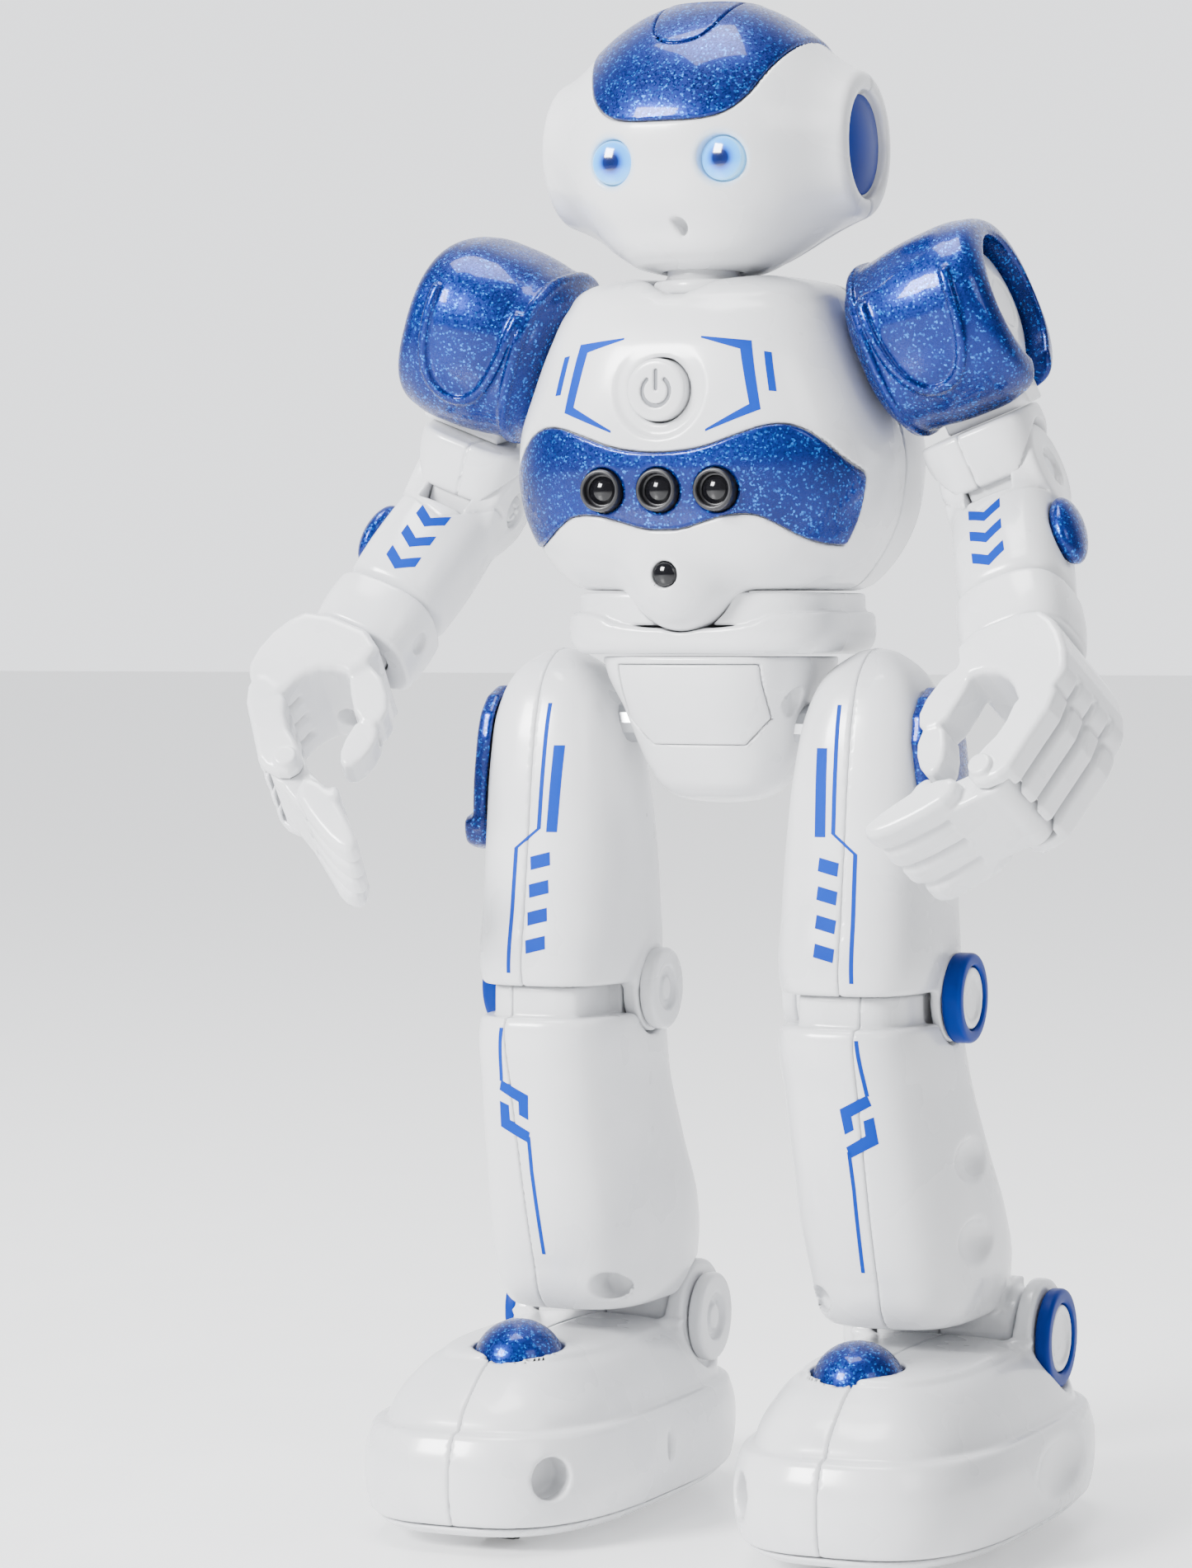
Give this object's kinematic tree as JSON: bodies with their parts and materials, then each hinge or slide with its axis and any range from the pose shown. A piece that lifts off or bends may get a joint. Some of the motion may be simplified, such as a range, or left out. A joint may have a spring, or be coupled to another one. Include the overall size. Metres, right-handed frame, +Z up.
{
  "type": "walking humanoid robot",
  "caption": "Standing toy robot with a turning head, jointed arms and hands, coupled leg joints and wheels under its feet.",
  "frame": {"origin": "on the ground under the middle of the robot's box, half way between the fingertips and the heels", "axes": "+Z up, -Y the way the robot faces, +X the robot's left"},
  "size_m": [0.1564, 0.1056, 0.2655],
  "materials": {
    "white_shell": "glossy white moulded plastic",
    "glitter_blue": "clear gloss over deep blue with fine metallic flake",
    "blue_trim": "glossy mid blue",
    "black_lens": "polished black",
    "eye_glow": "translucent blue lens lit from behind",
    "tyre_rubber": "matt black tread",
    "pin_steel": "turned steel",
    "circuit_green": "coated circuit board",
    "battery_grey": "dark sleeve"
  },
  "bodies": {
    "torso": {"neck_post": "white_shell", "chest_front_shell": "white_shell", "chest_back_shell": "white_shell", "chest_band": "glitter_blue", "sensor_lens_left": "black_lens", "sensor_lens_centre": "black_lens", "sensor_lens_right": "black_lens", "infrared_led": "black_lens", "battery_pack": "battery_grey", "main_circuit_board": "circuit_green", "speaker": "battery_grey", "waist_belt": "white_shell", "pelvis_shell": "white_shell", "pelvis_front_panel": "white_shell", "hip_axle": "pin_steel"},
    "head": {"head_front_shell": "white_shell", "head_back_shell": "white_shell", "head_visor": "glitter_blue", "ear_disc_left": "blue_trim", "ear_disc_right": "blue_trim", "eye_lens_left": "eye_glow", "eye_lens_right": "eye_glow", "eye_led_board": "circuit_green"},
    "button": {"power_button": "white_shell"},
    "arm_left": {"shoulder_pod_left": "glitter_blue", "shoulder_hub_left": "white_shell", "upper_arm_left": "white_shell"},
    "arm_right": {"shoulder_pod_right": "glitter_blue", "shoulder_hub_right": "white_shell", "upper_arm_right": "white_shell"},
    "lower_arm_left": {"elbow_pin_left": "pin_steel", "forearm_left": "white_shell", "forearm_dome_left": "glitter_blue"},
    "lower_arm_right": {"elbow_pin_right": "pin_steel", "forearm_right": "white_shell", "forearm_dome_right": "glitter_blue"},
    "palm_left": {"hand_left": "white_shell"},
    "palm_right": {"hand_right": "white_shell"},
    "finger_block_left": {"fingers_left": "white_shell"},
    "finger_block_right": {"fingers_right": "white_shell"},
    "thigh_left": {"thigh_shell_left": "white_shell", "thigh_cover_left": "glitter_blue", "knee_pin_left": "blue_trim"},
    "thigh_right": {"thigh_shell_right": "white_shell", "thigh_cover_right": "glitter_blue", "knee_pin_right": "blue_trim"},
    "shin_left": {"shin_shell_left": "white_shell"},
    "shin_right": {"shin_shell_right": "white_shell"},
    "foot_left": {"ankle_pin_left": "blue_trim", "foot_shell_left": "white_shell", "foot_dome_left": "glitter_blue", "foot_sole_left": "white_shell"},
    "foot_right": {"ankle_pin_right": "blue_trim", "foot_shell_right": "white_shell", "foot_dome_right": "glitter_blue", "foot_sole_right": "white_shell"},
    "wheel_front_left": {"front_wheel_left": "tyre_rubber"},
    "wheel_front_right": {"front_wheel_right": "tyre_rubber"},
    "wheel_rear_left": {"rear_wheel_left": "tyre_rubber"},
    "wheel_rear_right": {"rear_wheel_right": "tyre_rubber"}
  },
  "joints": [
    {"name": "head_turn", "type": "hinge", "parent": "torso", "child": "head", "pos_m": [0, -0.00989, 0.216], "axis": [0, 0, 1], "range_deg": [-60, 60]},
    {"name": "power_button_press", "type": "slide", "parent": "torso", "child": "button", "axis": [0, 1, 0], "range_m": [0, 0.001], "stiffness_N_per_m": 300},
    {"name": "shoulder_swing_left", "type": "hinge", "parent": "torso", "child": "arm_left", "pos_m": [0.04, -0.00199, 0.208], "axis": [0.9336, 0, 0.3584], "range_deg": [-70, 35]},
    {"name": "shoulder_swing_right", "type": "hinge", "parent": "torso", "child": "arm_right", "pos_m": [-0.04, -0.00199, 0.208], "axis": [0.9336, 0, -0.3584], "range_deg": [-70, 35]},
    {"name": "elbow_bend_left", "type": "hinge", "parent": "arm_left", "child": "lower_arm_left", "pos_m": [0.05011, 0.00334, 0.18167], "axis": [0.9336, 0, 0.3584], "range_deg": [-2, 45]},
    {"name": "elbow_bend_right", "type": "hinge", "parent": "arm_right", "child": "lower_arm_right", "pos_m": [-0.05011, 0.00334, 0.18167], "axis": [0.9336, 0, -0.3584], "range_deg": [-2, 45]},
    {"name": "wrist_turn_left", "type": "hinge", "parent": "lower_arm_left", "child": "palm_left", "pos_m": [0.0611, -0.0191, 0.15304], "axis": [0.2892, -0.5906, -0.7534], "range_deg": [-45, 45]},
    {"name": "wrist_turn_right", "type": "hinge", "parent": "lower_arm_right", "child": "palm_right", "pos_m": [-0.0611, -0.0191, 0.15304], "axis": [0.2892, 0.5906, 0.7534], "range_deg": [-45, 45]},
    {"name": "finger_curl_left", "type": "hinge", "parent": "palm_left", "child": "finger_block_left", "pos_m": [0.06493, -0.03646, 0.1291], "axis": [0.2116, 0.807, -0.5514], "range_deg": [-43, 0]},
    {"name": "finger_curl_right", "type": "hinge", "parent": "palm_right", "child": "finger_block_right", "pos_m": [-0.06493, -0.03646, 0.1291], "axis": [0.2116, -0.807, 0.5514], "range_deg": [-25, 18]},
    {"name": "hip_swing_left", "type": "hinge", "parent": "torso", "child": "thigh_left", "pos_m": [0.029, -0.00149, 0.141], "axis": [1, 0, 0], "range_deg": [-10, 10]},
    {"name": "hip_swing_right", "type": "hinge", "parent": "torso", "child": "thigh_right", "pos_m": [-0.029, -0.00149, 0.141], "axis": [1, 0, 0], "range_deg": [-10, 10]},
    {"name": "knee_bend_left", "type": "hinge", "parent": "thigh_left", "child": "shin_left", "pos_m": [0.028, 0.00351, 0.094], "axis": [1, 0, 0], "range_deg": [-6, 6]},
    {"name": "knee_bend_right", "type": "hinge", "parent": "thigh_right", "child": "shin_right", "pos_m": [-0.028, 0.00351, 0.094], "axis": [1, 0, 0], "range_deg": [-6, 6]},
    {"name": "ankle_tilt_left", "type": "hinge", "parent": "shin_left", "child": "foot_left", "pos_m": [0.033, 0.03051, 0.032], "axis": [1, 0, 0], "range_deg": [-6, 6]},
    {"name": "ankle_tilt_right", "type": "hinge", "parent": "shin_right", "child": "foot_right", "pos_m": [-0.033, 0.03051, 0.032], "axis": [1, 0, 0], "range_deg": [-6, 6]},
    {"name": "front_wheel_spin_left", "type": "hinge", "parent": "foot_left", "child": "wheel_front_left", "pos_m": [0.031, -0.02549, 0.007], "axis": [1, 0, 0], "continuous": true},
    {"name": "front_wheel_spin_right", "type": "hinge", "parent": "foot_right", "child": "wheel_front_right", "pos_m": [-0.031, -0.02549, 0.007], "axis": [1, 0, 0], "continuous": true},
    {"name": "rear_wheel_spin_left", "type": "hinge", "parent": "foot_left", "child": "wheel_rear_left", "pos_m": [0.04, 0.01651, 0.007], "axis": [1, 0, 0], "continuous": true},
    {"name": "rear_wheel_spin_right", "type": "hinge", "parent": "foot_right", "child": "wheel_rear_right", "pos_m": [-0.04, 0.01651, 0.007], "axis": [1, 0, 0], "continuous": true}
  ],
  "couplings": [
    {"joint": "knee_bend_left", "follows": "hip_swing_left", "ratio": -0.5},
    {"joint": "ankle_tilt_left", "follows": "hip_swing_left", "ratio": -0.5},
    {"joint": "knee_bend_right", "follows": "hip_swing_right", "ratio": -0.5},
    {"joint": "ankle_tilt_right", "follows": "hip_swing_right", "ratio": -0.5}
  ]
}
